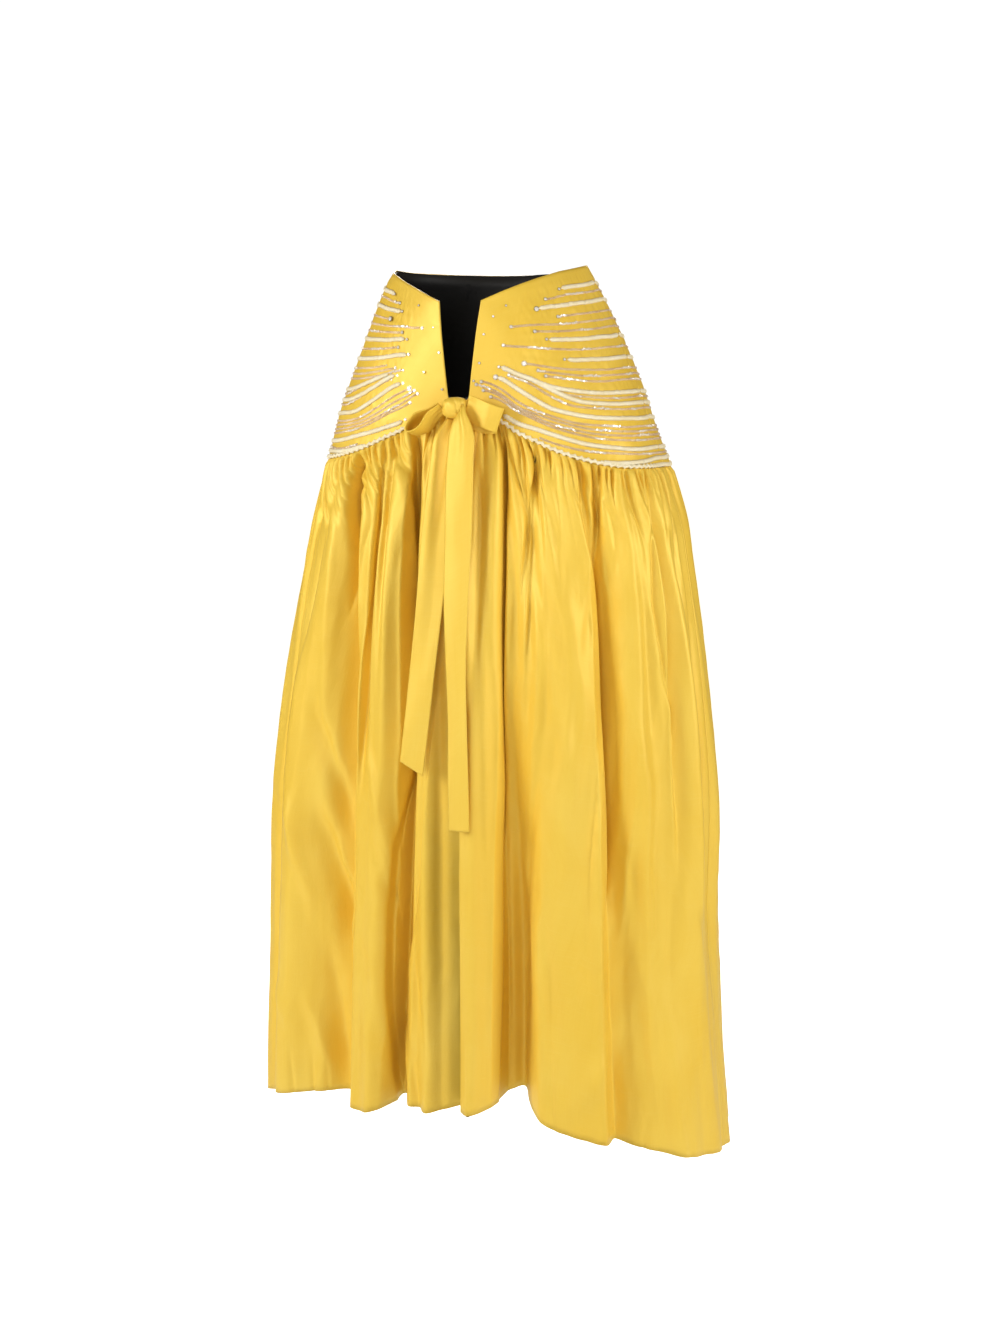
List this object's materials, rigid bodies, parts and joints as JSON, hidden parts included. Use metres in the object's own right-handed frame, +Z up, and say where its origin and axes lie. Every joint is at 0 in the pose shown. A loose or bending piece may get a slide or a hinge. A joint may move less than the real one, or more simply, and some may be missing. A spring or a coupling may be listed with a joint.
{
  "type": "cloak",
  "caption": "Long evening cloak, worn and empty: a stiff embroidered shoulder yoke with a notched neckline, a full gathered skirt open at the front, and a bow tie with two long tails.",
  "frame": {"origin": "midway between the two pointed shoulder corners of the neckline, level with them, where the wearer's shoulders carry the cloak", "axes": "+Z up, the front faces -Y, +X towards the wearer's left"},
  "size_m": [0.7601, 0.4995, 1.3523],
  "materials": {
    "gold_silk": "golden yellow silk taffeta with a soft satin sheen",
    "black_lining": "black lining silk",
    "cream_braid": "cream braided cord"
  },
  "bodies": {
    "root": {"yoke_front_left": "gold_silk", "yoke_front_right": "gold_silk", "yoke_back": "gold_silk", "skirt_front_left": "gold_silk", "skirt_front_right": "gold_silk", "skirt_back": "gold_silk", "bow_knot": "gold_silk", "bow_loop_left": "gold_silk", "bow_loop_right": "gold_silk", "tie_tail_left": "gold_silk", "tie_tail_right": "gold_silk", "yoke_lining": "black_lining", "front_lining": "black_lining", "seam_braid": "cream_braid"}
  },
  "joints": []
}
